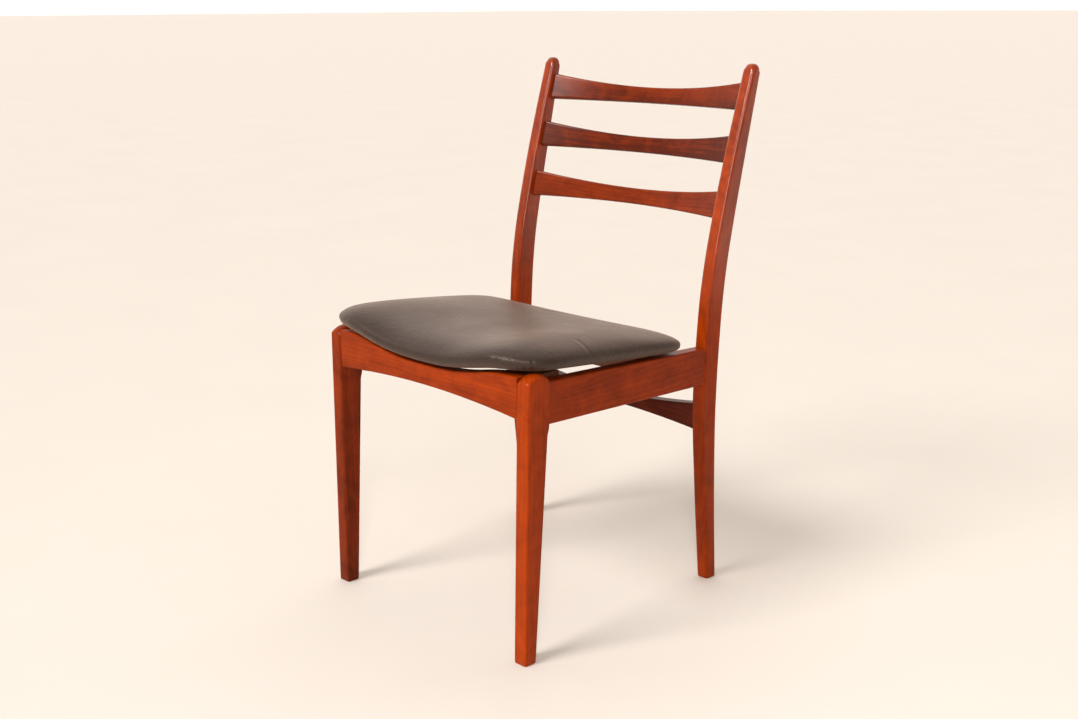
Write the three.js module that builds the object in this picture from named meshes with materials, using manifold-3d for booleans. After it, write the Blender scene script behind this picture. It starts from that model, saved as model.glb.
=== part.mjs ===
// Dining chair: a ladder-back frame of reddish-brown wood with a floating upholstered seat.
// Millimetres, +Z up, front towards -Y. The origin is on the floor, below the middle of the chair.
// The pieces are drawn about the middle of the seat frame, and the group that holds them is then
// moved so that the whole chair is centred.
import * as THREE from "three";
import { mergeVertices } from "three/addons/utils/BufferGeometryUtils.js";
import Module from "manifold-3d";

const wasm = await Module();
wasm.setup();

// Driving dimensions.
const GAP = 0.3; // clearance between pieces that touch
const SOFT_GAP = 0.6; // clearance between the curved layers of the seat
const TRIM = 1; // how far a cutter reaches beyond what it trims
const OVERCUT = 9; // how far a cutter reaches out of an opening
const LEAN = 0.008; // outward lean of every leg, in X per unit of height
const FRONT_LEG = {
  outerX: 214, // at the floor
  thickness: 24,
  frontFoot: -246,
  frontTop: -239,
  backFoot: -223.5,
  backTaper: -201,
  backTop: -197.5,
  taperZ: 326,
  shoulderZ: 344,
  height: 417.3,
  crown: 12,
  round: 3,
};
const REAR_LEG = {
  outerX: 212, // at the floor
  thickness: 21.5,
  crown: 12,
  round: 3.5,
  // Edges of the board as (y, z), from the floor up.
  frontEdge: [
    [163.7, 0],
    [147.8, 145],
    [136, 291],
    [140.9, 421],
    [151.2, 504],
    [168.1, 581],
    [194.8, 678],
    [232, 796.5],
  ],
  backEdge: [
    [187.1, 0],
    [177.6, 145],
    [173.1, 291],
    [178.3, 421],
    [187.4, 504],
    [202.4, 581],
    [224.5, 678],
    [250.9, 790.5],
  ],
};
const FRONT_RAIL = {
  faceY: -237.5,
  thickness: 22,
  topEnd: 413.5,
  topMiddle: 396.5,
  bottomEnd: 354.5,
  bottomMiddle: 365.5,
  scoopHalf: 165, // half length of the scoop, outside of which the top is a level ledge
  scoopShape: 1.6, // above 1, the scoop is flatter in the middle
  round: 2.5,
};
const SIDE_RAIL = {
  outerX: 214.2,
  thickness: 21,
  frontY: -197,
  rearY: 138,
  topFront: 404.3,
  topRear: 386.7,
  bottomFront: 344,
  bottomRear: 330,
  round: 2.5,
};
const REAR_RAIL = {
  faceY: 146,
  thickness: 19,
  topEnd: 294.5,
  topMiddle: 279,
  bottomEnd: 251.5,
  bottomMiddle: 262,
  round: 2.5,
};
const SLAT = {
  heights: { top: 761.8, middle: 683.9, lower: 601.9 },
  endHeight: 42.3,
  middleHeight: 25.3,
  thickness: 9,
  setback: 10.7, // of the ends, behind the front edge of the post
  bow: 29, // of the middle, backward from the ends
  tenonInset: 2, // of the tenon's front, behind the front of the slat
  tenonRoot: 4, // of the tenon inside the slat
  tenonLength: 13,
  tenonHeight: 30,
  tenonThickness: 5,
};
const SEAT = {
  halfWidth: 226,
  frontY: -255,
  rearY: 90,
  halfThickness: 14.8,
  edge: 21, // reach of the rounded rim beyond the flat faces
  sideFront: 434.5, // height of the middle surface along the sides
  sideRear: 402,
  fall: 1.53, // above 1, the sides fall more steeply towards the rear
  dip: 18.8, // hollow of the front edge
  dipHalf: 175,
  dipShape: 1.4, // above 1, the hollow is flatter in the middle
  crown: 4,
  skin: 1.2,
  boardThickness: 9,
  boardInset: 20, // of the board from the rim of the seat
  boardEdge: 2, // bulge of the board's rim
  coverReturn: 39, // width of the cover folded under the board
  clothInset: 34,
  clothEdge: 0.5,
  frontCorner: 5.4, // exponents of the outline, larger is squarer
  rearCorner: 11.2,
};
const BEARER = { frontY: 27, rearY: 53, height: 30 };
const BLOCK = { leg: 58, bottomZ: 372, topZ: 409.3 };
const DOWEL = {
  radius: 4,
  inLeg: 14,
  inRail: 16,
  bearerZ: 372,
  // Heights of the upper and the lower dowel of each joint.
  front_rail: [398, 372],
  side_rail_front: [386, 360],
  side_rail_rear: [371, 347],
  rear_rail: [283, 263],
};
const CLOTH_THICKNESS = 0.8;
const SCREW = { head: 4, shank: 1.9, headHeight: 2.4, tip: 4, intoBoard: 6.5 };
const SEAT_SCREW = { frontX: 168, frontY: -190, rearX: 120, rearY: 40 };
const BLOCK_SCREW = {
  length: 34,
  fromCorner: 40, // along the rail, from the corner of the block
  headDepth: 16.5, // of the head, from the rail's inner face
  access: 12, // length of the wide bore that the head goes in by
  frontZ: 380,
  sideZ: 395,
};

// Materials.
function material(color, roughness, metalness = 0) {
  return new THREE.MeshStandardMaterial({ color, roughness, metalness });
}
const WOOD = material(0xa8481a, 0.42);
const BEECH = material(0xcfa573, 0.7);
const LEATHER = material(0x2a2422, 0.4);
const FOAM = material(0xd9cfa8, 0.95);
const PLYWOOD = material(0xc79a63, 0.7);
const CLOTH = material(0x1b1b1c, 0.95);
const STEEL = material(0xb8b4aa, 0.4, 1);

// Solids: booleans on closed geometries.
function closed(geometry) {
  const bare = geometry.clone();
  bare.deleteAttribute("normal");
  bare.deleteAttribute("uv");
  return mergeVertices(bare, 1e-4);
}

function solidOf(geometry) {
  const merged = closed(geometry);
  return new wasm.Manifold(
    new wasm.Mesh({
      numProp: 3,
      vertProperties: new Float32Array(merged.attributes.position.array),
      triVerts: new Uint32Array(merged.index.array),
    }),
  );
}

function geometryOf(solid) {
  const mesh = solid.getMesh();
  const geometry = new THREE.BufferGeometry();
  const position = new THREE.BufferAttribute(mesh.vertProperties, 3);
  geometry.setAttribute("position", position);
  geometry.setIndex(new THREE.BufferAttribute(mesh.triVerts, 1));
  return geometry;
}

function cut(geometry, cutters) {
  const rest = cutters.reduce((left, one) => left.subtract(solidOf(one)), solidOf(geometry));
  return geometryOf(rest);
}

function join(geometry, others) {
  const whole = others.reduce((sum, one) => sum.add(solidOf(one)), solidOf(geometry));
  return geometryOf(whole);
}

function common(a, b) {
  return geometryOf(solidOf(a).intersect(solidOf(b)));
}

// Boards: an outline extruded across its plane, with rounded edges when round is given.
function board(outline, depth, round = 0) {
  const geometry = new THREE.ExtrudeGeometry(new THREE.Shape(outline), {
    depth: depth - 2 * round,
    bevelEnabled: round > 0,
    bevelThickness: round,
    bevelSize: round,
    bevelOffset: -round,
    bevelSegments: 3,
    steps: 1,
  });
  return geometry.translate(0, 0, round);
}

// The outline is in (y, z) and the board reaches from x to x + depth.
function boardAlongX(outline, x, depth, round) {
  const turn = new THREE.Matrix4().makeBasis(
    new THREE.Vector3(0, 1, 0),
    new THREE.Vector3(0, 0, 1),
    new THREE.Vector3(1, 0, 0),
  );
  return board(outline, depth, round).applyMatrix4(turn).translate(x, 0, 0);
}

// The outline is in (x, z) and the board reaches from y to y + depth.
function boardAlongY(outline, y, depth, round) {
  const turn = new THREE.Matrix4().makeBasis(
    new THREE.Vector3(1, 0, 0),
    new THREE.Vector3(0, 0, 1),
    new THREE.Vector3(0, -1, 0),
  );
  const geometry = board(outline, depth, round).applyMatrix4(turn);
  return geometry.translate(0, y + depth, 0);
}

function block(x0, x1, y0, y1, z0, z1) {
  const geometry = new THREE.BoxGeometry(x1 - x0, y1 - y0, z1 - z0);
  return geometry.translate((x0 + x1) / 2, (y0 + y1) / 2, (z0 + z1) / 2);
}

function point(x, y) {
  return new THREE.Vector2(x, y);
}

function lerp(a, b, share) {
  return THREE.MathUtils.lerp(a, b, share);
}

function lean(geometry) {
  const shear = new THREE.Matrix4().set(1, 0, LEAN, 0, 0, 1, 0, 0, 0, 0, 1, 0, 0, 0, 0, 1);
  return geometry.applyMatrix4(shear);
}

// The same piece on the other side of the chair. Reversing the index turns the faces outward again.
function mirrored(geometry) {
  const other = closed(geometry).scale(-1, 1, 1);
  other.index.array.reverse();
  return other;
}

// Inner faces of the legs at height z, on the +X side.
function frontInner(z) {
  return FRONT_LEG.outerX - FRONT_LEG.thickness + LEAN * z;
}

function rearInner(z) {
  return REAR_LEG.outerX - REAR_LEG.thickness + LEAN * z;
}

// Front edge of a rear leg at height z: its place, and the direction in which the edge runs there.
function postFront(z) {
  const steps = 400;
  const edge = new THREE.SplineCurve(REAR_LEG.frontEdge.map(([y, h]) => point(y, h)));
  const near = edge.getPoints(steps).findIndex((p) => p.y >= z);
  return { y: edge.getPoint(near / steps).x, along: edge.getTangent(near / steps) };
}

// Dowels and their holes. A dowel is a cylinder about its own middle, given as a place and an axis.
function cylinderAt(radius, length, centre, axis) {
  const geometry = new THREE.CylinderGeometry(radius, radius, length, 10);
  if (axis === "x") geometry.rotateZ(Math.PI / 2);
  if (axis === "z") geometry.rotateX(Math.PI / 2);
  return geometry.translate(centre.x, centre.y, centre.z);
}

function dowelAt(name, x, y, z, axis) {
  const length = DOWEL.inRail + DOWEL.inLeg;
  const centre = new THREE.Vector3(x, y, z);
  return {
    name,
    body: cylinderAt(DOWEL.radius, length, centre, axis),
    hole: cylinderAt(DOWEL.radius + GAP, length + 2 * GAP, centre, axis),
  };
}

function dowelSeries() {
  const reach = (DOWEL.inRail - DOWEL.inLeg) / 2;
  const railX = SIDE_RAIL.outerX - SIDE_RAIL.thickness / 2;
  const frontY = FRONT_RAIL.faceY + FRONT_RAIL.thickness / 2;
  const rearY = REAR_RAIL.faceY + REAR_RAIL.thickness / 2;
  const bearerX = SIDE_RAIL.outerX - SIDE_RAIL.thickness + reach - GAP;
  const bearerY = (BEARER.frontY + BEARER.rearY) / 2;
  const places = {
    front_rail: (z) => [frontInner(z) - reach, frontY, z, "x"],
    side_rail_front: (z) => [railX, SIDE_RAIL.frontY + reach, z, "y"],
    side_rail_rear: (z) => [railX, postFront(z).y - reach, z, "y"],
    rear_rail: (z) => [rearInner(z) - reach, rearY, z, "x"],
  };
  const pairs = Object.entries(places).flatMap(([joint, place]) => {
    const [upper, lower] = DOWEL[joint];
    return [
      dowelAt(joint + "_upper", ...place(upper)),
      dowelAt(joint + "_lower", ...place(lower)),
    ];
  });
  return [...pairs, dowelAt("bearer", bearerX, bearerY, DOWEL.bearerZ, "x")];
}
const DOWELS = dowelSeries();

function holesOf(prefix) {
  return DOWELS.filter((one) => one.name.startsWith(prefix)).map((one) => one.hole);
}

function bothSides(geometries) {
  return [...geometries, ...geometries.map(mirrored)];
}

// A cubic between two level points rises to three quarters of the height of its handles.
function handle(rise) {
  return (rise * 4) / 3;
}

// Front leg: a board in the (y, z) plane with a tapered back edge and a rounded top.
function frontLegOutline() {
  const leg = FRONT_LEG;
  const topZ = leg.height - leg.crown;
  const front = point(leg.frontTop, topZ);
  const back = point(leg.backTop, topZ);
  const rise = point(0, handle(leg.crown));
  const crown = new THREE.CubicBezierCurve(
    back,
    back.clone().add(rise),
    front.clone().add(rise),
    front,
  );
  const shoulder = new THREE.CubicBezierCurve(
    point(leg.backTaper, leg.taperZ),
    point(leg.backTaper, lerp(leg.taperZ, leg.shoulderZ, 0.6)),
    point(leg.backTop, lerp(leg.taperZ, leg.shoulderZ, 0.4)),
    point(leg.backTop, leg.shoulderZ),
  );
  return [
    point(leg.frontFoot, 0),
    point(leg.backFoot, 0),
    ...shoulder.getPoints(5),
    ...crown.getPoints(10),
  ];
}

function frontLeg() {
  const leg = FRONT_LEG;
  const x = leg.outerX - leg.thickness;
  const blank = lean(boardAlongX(frontLegOutline(), x, leg.thickness, leg.round));
  return cut(blank, [...holesOf("front_rail"), ...holesOf("side_rail_front")]);
}

// Rear leg: a board in the (y, z) plane between two curves, swept back at the top and the foot.
function rearLegOutline() {
  const front = new THREE.SplineCurve(REAR_LEG.frontEdge.map(([y, z]) => point(y, z)));
  const back = new THREE.SplineCurve(REAR_LEG.backEdge.map(([y, z]) => point(y, z)));
  const top = front.getPoint(1);
  const heel = back.getPoint(1);
  const rise = front.getTangent(1).multiplyScalar(handle(REAR_LEG.crown));
  const crown = new THREE.CubicBezierCurve(
    heel,
    heel.clone().add(rise),
    top.clone().add(rise),
    top,
  );
  return [
    ...back.getPoints(15).slice(0, -1),
    ...crown.getPoints(8),
    ...front.getPoints(15).reverse().slice(1),
  ];
}

function rearLeg(mortises) {
  const leg = REAR_LEG;
  const x = leg.outerX - leg.thickness;
  const blank = lean(boardAlongX(rearLegOutline(), x, leg.thickness, leg.round));
  return cut(blank, [...holesOf("side_rail_rear"), ...holesOf("rear_rail"), ...mortises]);
}

// The clear room between two legs, as a slab that trims a cross rail's ends to the leaning faces.
function roomBetween(inner, rail) {
  const low = rail.bottomEnd - OVERCUT;
  const high = rail.topEnd + OVERCUT;
  const outline = [
    point(GAP - inner(low), low),
    point(inner(low) - GAP, low),
    point(inner(high) - GAP, high),
    point(GAP - inner(high), high),
  ];
  return boardAlongY(outline, rail.faceY - OVERCUT, rail.thickness + 2 * OVERCUT);
}

// Front rail: the top is scooped by a raised cosine of |x|, and the bottom is a shallow arch.
function frontRail() {
  const rail = FRONT_RAIL;
  const half = frontInner(rail.topEnd) + OVERCUT;
  const scoop = (x) => {
    const share = Math.min(1, Math.abs(x) / rail.scoopHalf);
    const lift = (1 - Math.cos(Math.PI * share ** rail.scoopShape)) / 2;
    return lerp(rail.topMiddle, rail.topEnd, lift);
  };
  const top = Array.from({ length: 17 }, (_, i) => rail.scoopHalf * (1 - i / 8));
  const arch = new THREE.QuadraticBezierCurve(
    point(-half, rail.bottomEnd),
    point(0, 2 * rail.bottomMiddle - rail.bottomEnd),
    point(half, rail.bottomEnd),
  );
  const outline = [
    ...arch.getPoints(10),
    point(half, rail.topEnd),
    ...top.map((x) => point(x, scoop(x))),
    point(-half, rail.topEnd),
  ];
  const blank = boardAlongY(outline, rail.faceY, rail.thickness, rail.round);
  return cut(common(blank, roomBetween(frontInner, rail)), bothSides(holesOf("front_rail")));
}

// Rear rail: waisted in the middle, so that both its edges are parabolas.
function rearRail() {
  const rail = REAR_RAIL;
  const half = rearInner(rail.topEnd) + OVERCUT;
  const edge = (end, middle) =>
    new THREE.QuadraticBezierCurve(
      point(-half, end),
      point(0, 2 * middle - end),
      point(half, end),
    ).getPoints(12);
  const outline = [
    ...edge(rail.bottomEnd, rail.bottomMiddle),
    ...edge(rail.topEnd, rail.topMiddle).reverse(),
  ];
  const blank = boardAlongY(outline, rail.faceY, rail.thickness, rail.round);
  return cut(common(blank, roomBetween(rearInner, rail)), bothSides(holesOf("rear_rail")));
}

// Side rail: a straight board that slopes down to the rear, trimmed to the faces of the two legs.
function sideRail() {
  const rail = SIDE_RAIL;
  const y0 = rail.frontY - OVERCUT;
  const y1 = rail.rearY + OVERCUT;
  const along = (front, rear, y) => lerp(front, rear, (y - rail.frontY) / (rail.rearY - rail.frontY));
  const outline = [
    point(y0, along(rail.bottomFront, rail.bottomRear, y0)),
    point(y1, along(rail.bottomFront, rail.bottomRear, y1)),
    point(y1, along(rail.topFront, rail.topRear, y1)),
    point(y0, along(rail.topFront, rail.topRear, y0)),
  ];
  const x = rail.outerX - rail.thickness;
  const blank = boardAlongX(outline, x, rail.thickness, rail.round);
  const low = rail.bottomRear - OVERCUT;
  const high = rail.topFront + OVERCUT;
  const heights = Array.from({ length: 9 }, (_, i) => lerp(low, high, i / 8));
  const room = [
    point(FRONT_LEG.backTop + GAP, low),
    ...heights.map((z) => point(postFront(z).y - GAP, z)),
    point(FRONT_LEG.backTop + GAP, high),
  ];
  const trimmer = boardAlongX(room, x - OVERCUT, rail.thickness + 2 * OVERCUT);
  const trimmed = common(blank, trimmer);
  return cut(trimmed, [...holesOf("side_rail"), ...holesOf("bearer")]);
}

// Back slat in its own frame: X across the chair, Y backward and Z along the post.
function slatParts(reach) {
  const slat = SLAT;
  const arc = (y) =>
    new THREE.QuadraticBezierCurve(
      point(-reach, y),
      point(0, y + 2 * slat.bow),
      point(reach, y),
    ).getPoints(20);
  const plan = [...arc(slat.setback), ...arc(slat.setback + slat.thickness).reverse()];
  const band = board(plan, slat.endHeight + 2 * TRIM).translate(0, 0, -slat.endHeight / 2 - TRIM);
  const edge = (sign) =>
    new THREE.QuadraticBezierCurve(
      point(-reach - TRIM, (sign * slat.endHeight) / 2),
      point(0, sign * (slat.middleHeight - slat.endHeight / 2)),
      point(reach + TRIM, (sign * slat.endHeight) / 2),
    ).getPoints(16);
  const deepest = slat.setback + slat.thickness + slat.bow;
  const face = boardAlongY([...edge(-1), ...edge(1).reverse()], 0, deepest + OVERCUT);
  const front = slat.setback + slat.tenonInset;
  const tenon = (root, room) =>
    block(
      reach - root,
      reach + slat.tenonLength + room,
      front - room,
      front + slat.tenonThickness + room,
      -slat.tenonHeight / 2 - room,
      slat.tenonHeight / 2 + room,
    );
  return {
    body: join(common(band, face), bothSides([tenon(slat.tenonRoot, 0)])),
    mortise: tenon(0, GAP),
  };
}

// Lays a slat's own frame on the post: the origin goes to the post's front edge at height z.
function slatPlace(z) {
  const { y, along } = postFront(z);
  const turn = new THREE.Matrix4().makeRotationX(-Math.atan2(along.x, along.y));
  return new THREE.Matrix4().makeTranslation(0, y, z).multiply(turn);
}

function slatSeries() {
  return Object.entries(SLAT.heights).map(([name, z]) => {
    const parts = slatParts(rearInner(z) - 2 * GAP);
    const place = slatPlace(z);
    return {
      name,
      body: parts.body.applyMatrix4(place),
      mortise: parts.mortise.applyMatrix4(place),
    };
  });
}

// Height of the seat's middle surface: falls to the rear, and its front edge is hollow.
function seatHeight(x, y) {
  const share = THREE.MathUtils.clamp((y - SEAT.frontY) / (SEAT.rearY - SEAT.frontY), 0, 1);
  const side = lerp(SEAT.sideFront, SEAT.sideRear, share ** SEAT.fall);
  const across = Math.min(1, Math.abs(x) / SEAT.dipHalf);
  const hollow = (1 + Math.cos(Math.PI * across ** SEAT.dipShape)) / 2;
  return side - SEAT.dip * hollow * (1 - share);
}

// Layer of the seat between two offsets from the middle surface, drawn in from the outline by inset,
// with a rim that bulges out by edge. A unit box is bent: its top and bottom follow the seat and its
// walls become the rounded rim. The outline is a superellipse, squarer at the rear than in front.
function seatLayer(low, high, inset, edge, crown = 0) {
  const geometry = new THREE.BoxGeometry(2, 2, 2, 14, 12, edge > SEAT.boardEdge ? 4 : 1);
  const position = geometry.attributes.position;
  const halfX = SEAT.halfWidth - inset - edge;
  const halfY = (SEAT.rearY - SEAT.frontY) / 2 - inset - edge;
  const middleY = (SEAT.rearY + SEAT.frontY) / 2;
  for (let i = 0; i < position.count; i++) {
    const a = position.getX(i);
    const b = position.getY(i);
    const c = position.getZ(i);
    const n = b < 0 ? SEAT.frontCorner : SEAT.rearCorner;
    const ring = Math.max(Math.abs(a), Math.abs(b));
    const norm = (Math.abs(a) ** n + Math.abs(b) ** n) ** (1 / n);
    const square = norm > 0 ? ring / norm : 1;
    const swell = ring > 0.999 ? Math.cos((c * Math.PI) / 2) : 0;
    const x = a * square * (halfX + edge * swell);
    const y = middleY + b * square * (halfY + edge * swell);
    const middle = (low + high) / 2;
    const half = (high - low) / 2;
    const rise = c > 0 ? crown * (1 - ring ** 2) : 0;
    const z = seatHeight(x, y) + middle + half * Math.sin((c * Math.PI) / 2) + rise;
    position.setXYZ(i, x, y, z);
  }
  return geometry;
}

const LEVEL = {
  top: SEAT.halfThickness,
  bottom: -SEAT.halfThickness,
  foamTop: SEAT.halfThickness - SEAT.skin - SOFT_GAP,
  boardBottom: SEAT.skin + SOFT_GAP - SEAT.halfThickness,
};
LEVEL.boardTop = LEVEL.boardBottom + SEAT.boardThickness;

// Cover: a thin shell that wraps the rim, folded under the board and open below.
function leatherCover() {
  const { top, bottom } = LEVEL;
  const { skin, edge, crown } = SEAT;
  const outer = seatLayer(bottom, top, 0, edge, crown);
  const inner = seatLayer(bottom + skin, top - skin, skin, edge - skin, crown);
  const opening = seatLayer(bottom - OVERCUT, 0, SEAT.coverReturn, SEAT.clothEdge);
  return cut(outer, [inner, opening]);
}

// Foam: fills the cover above the board and round its edge.
function foamPad() {
  const inset = SEAT.skin + SOFT_GAP;
  const pad = seatLayer(LEVEL.boardBottom, LEVEL.foamTop, inset, SEAT.edge - inset, SEAT.crown);
  const low = LEVEL.boardBottom - OVERCUT;
  const high = LEVEL.boardTop + SOFT_GAP;
  return cut(pad, [seatLayer(low, high, SEAT.boardInset - SOFT_GAP, SEAT.boardEdge)]);
}

// Screws point up. Each is given by the place of the underside of its head.
function screwAt(place, length) {
  const profile = [
    point(0, 0),
    point(SCREW.head, 0),
    point(SCREW.shank, SCREW.headHeight),
    point(SCREW.shank, length - SCREW.tip),
    point(0, length),
  ];
  const geometry = new THREE.LatheGeometry(profile, 10).rotateX(Math.PI / 2);
  return geometry.translate(place.x, place.y, place.z);
}

function screwHole(place, length) {
  const centre = new THREE.Vector3(place.x, place.y, place.z + length / 2);
  const shank = cylinderAt(SCREW.shank + GAP, length + 2 * GAP, centre, "z");
  const sink = cylinderAt(SCREW.head + GAP, SCREW.headHeight + GAP, place, "z");
  return join(shank, [sink.translate(0, 0, SCREW.headHeight / 2)]);
}

// Seat screws, from below: two through the corner blocks and two through the bearer.
function seatScrewSpots() {
  const spots = [
    { name: "front", x: SEAT_SCREW.frontX, y: SEAT_SCREW.frontY, z: BLOCK.bottomZ },
    { name: "rear", x: SEAT_SCREW.rearX, y: SEAT_SCREW.rearY, z: bearerBottom(SEAT_SCREW.rearY) },
  ];
  return spots.map((spot) => {
    const tip = seatHeight(spot.x, spot.y) + LEVEL.boardBottom + SCREW.intoBoard;
    return { ...spot, length: tip - spot.z };
  });
}

function bearerTop(y) {
  return seatHeight(0, y) + LEVEL.bottom - CLOTH_THICKNESS - 2 * SOFT_GAP;
}

function bearerBottom(y) {
  return bearerTop(y) - BEARER.height;
}

const SEAT_SCREWS = seatScrewSpots();
const SEAT_SCREW_HOLES = bothSides(SEAT_SCREWS.map((one) => screwHole(one, one.length)));

function seatBoard() {
  const { boardBottom, boardTop } = LEVEL;
  const blank = seatLayer(boardBottom, boardTop, SEAT.boardInset, SEAT.boardEdge);
  return cut(blank, SEAT_SCREW_HOLES);
}

// Cloth over the opening of the cover, lapping its folded edge.
function dustCloth() {
  const top = LEVEL.bottom - SOFT_GAP;
  const sheet = seatLayer(top - CLOTH_THICKNESS, top, SEAT.clothInset, SEAT.clothEdge);
  return cut(sheet, SEAT_SCREW_HOLES);
}

// Cross bearer between the side rails, with its faces parallel to the slope of the seat.
function rearBearer() {
  const { frontY, rearY } = BEARER;
  const outline = [
    point(frontY, bearerBottom(frontY)),
    point(rearY, bearerBottom(rearY)),
    point(rearY, bearerTop(rearY)),
    point(frontY, bearerTop(frontY)),
  ];
  const half = SIDE_RAIL.outerX - SIDE_RAIL.thickness - GAP;
  const blank = boardAlongX(outline, -half, 2 * half);
  return cut(blank, [...bothSides(holesOf("bearer")), ...SEAT_SCREW_HOLES]);
}

// Corner block: a triangle in plan, in the corner of the front rail and the side rail.
function cornerBlock(screwHoles) {
  const x = SIDE_RAIL.outerX - SIDE_RAIL.thickness - GAP;
  const y = FRONT_RAIL.faceY + FRONT_RAIL.thickness + GAP;
  const outline = [point(x - BLOCK.leg, y), point(x, y), point(x, y + BLOCK.leg)];
  const blank = board(outline, BLOCK.topZ - BLOCK.bottomZ).translate(0, 0, BLOCK.bottomZ);
  return cut(blank, [...screwHoles, ...SEAT_SCREW_HOLES]);
}

// Block screws lie level: one goes forward into the front rail, one sideways into the side rail.
function blockScrewSeries() {
  const { length, fromCorner, headDepth, access, frontZ, sideZ } = BLOCK_SCREW;
  const x = SIDE_RAIL.outerX - SIDE_RAIL.thickness;
  const y = FRONT_RAIL.faceY + FRONT_RAIL.thickness;
  const forward = new THREE.Matrix4().makeRotationX(Math.PI / 2);
  const sideways = new THREE.Matrix4().makeRotationY(Math.PI / 2);
  const places = [
    ["to_front_rail", x - fromCorner, y + headDepth, frontZ, forward],
    ["to_side_rail", x - headDepth, y + fromCorner, sideZ, sideways],
  ];
  const origin = new THREE.Vector3();
  const behind = new THREE.Vector3(0, 0, -access / 2);
  const bore = cylinderAt(SCREW.head + GAP, access, behind, "z");
  const hole = join(screwHole(origin, length), [bore]);
  return places.map(([name, atX, atY, atZ, turn]) => ({
    name,
    body: screwAt(origin, length).applyMatrix4(turn).translate(atX, atY, atZ),
    hole: hole.clone().applyMatrix4(turn).translate(atX, atY, atZ),
  }));
}

// Assembly.
const frame = new THREE.Group();

function place(name, geometry, look) {
  const faceted = closed(geometry).toNonIndexed();
  faceted.computeVertexNormals();
  const mesh = new THREE.Mesh(faceted, look);
  mesh.name = name;
  frame.add(mesh);
}

function placePair(name, geometry, look) {
  place(name + "_left", geometry, look);
  place(name + "_right", mirrored(geometry), look);
}

const SLATS = slatSeries();
const MORTISES = SLATS.map((slat) => slat.mortise);
const BLOCK_SCREWS = blockScrewSeries();
const BLOCK_SCREW_HOLES = BLOCK_SCREWS.map((one) => one.hole);

placePair("front_leg", frontLeg(), WOOD);
placePair("rear_leg", rearLeg(MORTISES), WOOD);
place("front_rail", cut(frontRail(), bothSides([BLOCK_SCREW_HOLES[0]])), WOOD);
placePair("side_rail", cut(sideRail(), [BLOCK_SCREW_HOLES[1]]), WOOD);
place("rear_rail", rearRail(), WOOD);
SLATS.forEach((slat) => place("back_slat_" + slat.name, slat.body, WOOD));
place("rear_bearer", rearBearer(), BEECH);
placePair("corner_block", cornerBlock(BLOCK_SCREW_HOLES), BEECH);
BLOCK_SCREWS.forEach((one) => placePair("block_screw_" + one.name, one.body, STEEL));
SEAT_SCREWS.forEach((one) => {
  placePair("seat_screw_" + one.name, screwAt(one, one.length), STEEL);
});
DOWELS.forEach((one) => placePair("dowel_" + one.name, one.body, BEECH));
place("seat_board", seatBoard(), PLYWOOD);
place("foam_pad", foamPad(), FOAM);
place("leather_cover", leatherCover(), LEATHER);
place("dust_cloth", dustCloth(), CLOTH);

const extent = new THREE.Box3().setFromObject(frame);
frame.position.y = -(extent.min.y + extent.max.y) / 2;
const chair = new THREE.Group();
chair.add(frame);

export default chair;
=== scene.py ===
"""Dining chair with a ladder back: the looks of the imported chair.

Every wooden part is a rounded section carried along its board, the seat cover is an inflated closed
form, and the studio is a pale floor under soft light. Metres, +Z up, front towards -Y.
"""

import math

import bpy
import numpy as np
from bpy.props import FloatProperty, FloatVectorProperty, IntProperty, PointerProperty
from mathutils import Matrix, Vector


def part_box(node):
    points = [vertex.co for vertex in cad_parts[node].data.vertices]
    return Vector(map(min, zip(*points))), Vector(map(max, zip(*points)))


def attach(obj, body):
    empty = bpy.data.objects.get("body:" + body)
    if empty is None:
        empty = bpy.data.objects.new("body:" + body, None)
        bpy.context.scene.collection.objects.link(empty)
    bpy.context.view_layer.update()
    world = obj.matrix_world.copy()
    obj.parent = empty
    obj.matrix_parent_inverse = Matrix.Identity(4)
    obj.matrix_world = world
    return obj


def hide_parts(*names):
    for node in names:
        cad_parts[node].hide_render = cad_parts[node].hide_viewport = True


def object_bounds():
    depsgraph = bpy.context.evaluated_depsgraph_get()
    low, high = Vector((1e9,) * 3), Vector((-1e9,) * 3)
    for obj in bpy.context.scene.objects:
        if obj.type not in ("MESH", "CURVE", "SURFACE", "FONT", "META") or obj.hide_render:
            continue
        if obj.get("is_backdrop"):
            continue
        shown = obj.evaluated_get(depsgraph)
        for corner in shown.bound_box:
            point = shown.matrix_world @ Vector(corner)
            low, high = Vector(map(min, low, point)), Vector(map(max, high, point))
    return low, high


bl_info = {
    "name": "Ladder-back dining chair",
    "version": (1, 0, 0),
    "blender": (4, 5, 0),
    "location": "View3D > Sidebar > Chair",
    "description": "Builds the chair's wooden frame, its upholstered seat and the studio",
    "category": "Object",
}

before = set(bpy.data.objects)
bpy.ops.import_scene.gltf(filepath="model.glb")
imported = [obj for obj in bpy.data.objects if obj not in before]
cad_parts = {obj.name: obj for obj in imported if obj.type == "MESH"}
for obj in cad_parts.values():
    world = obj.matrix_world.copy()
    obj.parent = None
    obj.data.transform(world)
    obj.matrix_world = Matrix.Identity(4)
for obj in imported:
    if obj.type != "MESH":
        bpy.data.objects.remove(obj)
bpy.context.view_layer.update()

MM = 0.001
LEAN = 0.008  # outward lean of the legs, in X per unit of height
FIT = 0.05 * MM  # room between the end of a rail or slat and the leg that it meets

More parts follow.
